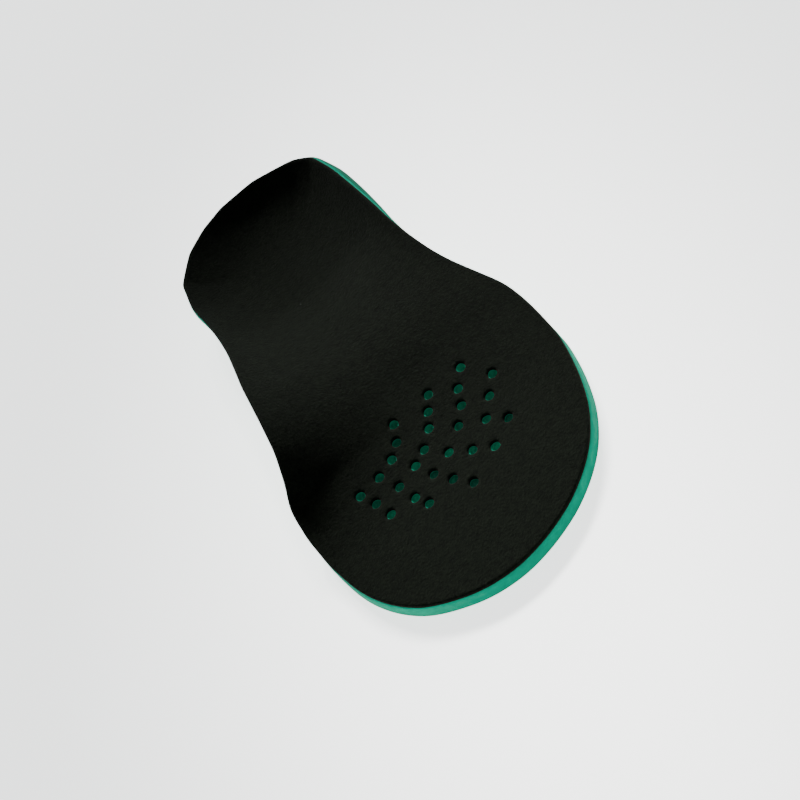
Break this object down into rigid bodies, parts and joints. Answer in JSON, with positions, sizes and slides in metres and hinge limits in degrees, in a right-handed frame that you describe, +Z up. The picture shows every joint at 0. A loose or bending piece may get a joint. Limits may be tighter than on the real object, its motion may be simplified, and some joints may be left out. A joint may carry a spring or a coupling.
{
  "type": "arch support insole",
  "caption": "Three-quarter length arch support insole for a left shoe: moulded green foam base with heel cup and raised arch, black brushed fabric top cover, punched ventilation holes.",
  "frame": {"origin": "on the underside's flat, below the middle of the heel", "axes": "+Y from the heel to the front edge, +X to the arch side, +Z up"},
  "size_m": [0.0874, 0.1753, 0.0244],
  "materials": {
    "foam_green": "matte closed-cell foam",
    "fabric_black": "brushed black fabric"
  },
  "bodies": {
    "root": {"foam_base": "foam_green", "top_cover": "fabric_black"}
  },
  "joints": []
}
